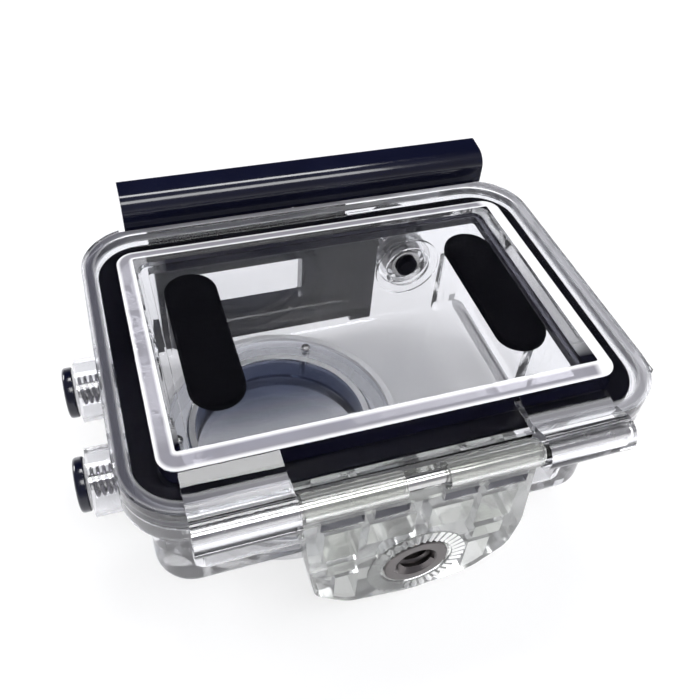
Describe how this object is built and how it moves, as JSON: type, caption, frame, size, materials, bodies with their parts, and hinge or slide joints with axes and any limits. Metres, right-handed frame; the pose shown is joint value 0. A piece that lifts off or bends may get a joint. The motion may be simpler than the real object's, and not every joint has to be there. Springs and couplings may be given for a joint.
{
  "type": "underwater camera housing",
  "caption": "Clear waterproof case for a small action camera, with a hinged back door, a swinging latch, sprung push buttons and a tripod thread",
  "frame": {"origin": "bottom centre of the outline, on the plane of the lens port rim that the housing rests on", "axes": "+X along the housing to its right end with the side buttons at -X, +Y to the edge with the latch, +Z out of the back door"},
  "size_m": [0.0868, 0.0692, 0.0419],
  "materials": {
    "clear_plastic": "clear moulded plastic, polished",
    "cloudy_plastic": "milky grey plastic",
    "lens_glass": "coated flat glass",
    "black_plastic": "glossy black plastic",
    "seal_rubber": "soft black silicone",
    "pad_foam": "matt black foam",
    "pin_steel": "bright stainless steel",
    "insert_nickel": "dark plated brass"
  },
  "bodies": {
    "shell": {"front_shell": "clear_plastic", "mount_foot": "cloudy_plastic", "threaded_insert": "insert_nickel", "lens_window": "lens_glass", "lens_ring": "clear_plastic", "lens_seal": "seal_rubber", "ring_screw_1": "pin_steel", "ring_screw_2": "pin_steel", "ring_screw_3": "pin_steel", "door_seal": "seal_rubber", "hinge_pin": "pin_steel", "latch_bracket": "black_plastic", "latch_pivot_pin": "pin_steel", "shutter_washer": "pin_steel", "shutter_o_ring": "seal_rubber", "shutter_spring": "pin_steel", "upper_side_washer": "pin_steel", "upper_side_o_ring": "seal_rubber", "upper_side_spring": "pin_steel", "lower_side_washer": "pin_steel", "lower_side_o_ring": "seal_rubber", "lower_side_spring": "pin_steel"},
    "door": {"back_door": "clear_plastic", "left_foam_pad": "pad_foam", "right_foam_pad": "pad_foam"},
    "arm": {"latch_arm": "black_plastic", "latch_bar_pin": "pin_steel"},
    "bar": {"latch_bar": "black_plastic"},
    "shutter_button": {"shutter_cap": "black_plastic", "shutter_shaft": "pin_steel", "shutter_clip": "pin_steel", "shutter_tip": "seal_rubber"},
    "upper_side_button": {"upper_side_cap": "black_plastic", "upper_side_shaft": "pin_steel", "upper_side_clip": "pin_steel", "upper_side_tip": "seal_rubber"},
    "lower_side_button": {"lower_side_cap": "black_plastic", "lower_side_shaft": "pin_steel", "lower_side_clip": "pin_steel", "lower_side_tip": "seal_rubber"}
  },
  "joints": [
    {"name": "door_hinge", "type": "hinge", "parent": "shell", "child": "door", "pos_m": [0.0008, -0.03193, 0.0357], "axis": [1, 0, 0], "range_deg": [0, 100]},
    {"name": "latch_arm_pivot", "type": "hinge", "parent": "shell", "child": "arm", "pos_m": [0.0022, 0.02722, 0.0107], "axis": [-1, 0, 0], "range_deg": [0, 90]},
    {"name": "latch_bar_pivot", "type": "hinge", "parent": "arm", "child": "bar", "pos_m": [0.0022, 0.03122, 0.0364], "axis": [1, 0, 0], "range_deg": [0, 36]},
    {"name": "shutter_press", "type": "slide", "parent": "shell", "child": "shutter_button", "axis": [0, -1, 0], "range_m": [0, 0.0016], "stiffness_N_per_m": 400, "springref_m": -0.0015, "deforming": ["shutter_spring"]},
    {"name": "upper_side_press", "type": "slide", "parent": "shell", "child": "upper_side_button", "axis": [1, 0, 0], "range_m": [0, 0.0016], "stiffness_N_per_m": 400, "springref_m": -0.0015, "deforming": ["upper_side_spring"]},
    {"name": "lower_side_press", "type": "slide", "parent": "shell", "child": "lower_side_button", "axis": [1, 0, 0], "range_m": [0, 0.0016], "stiffness_N_per_m": 400, "springref_m": -0.0015, "deforming": ["lower_side_spring"]}
  ],
  "couplings": [
    {"joint": "latch_arm_pivot", "follows": "door_hinge", "ratio": 0.9},
    {"joint": "latch_bar_pivot", "follows": "door_hinge", "ratio": 0.36}
  ]
}
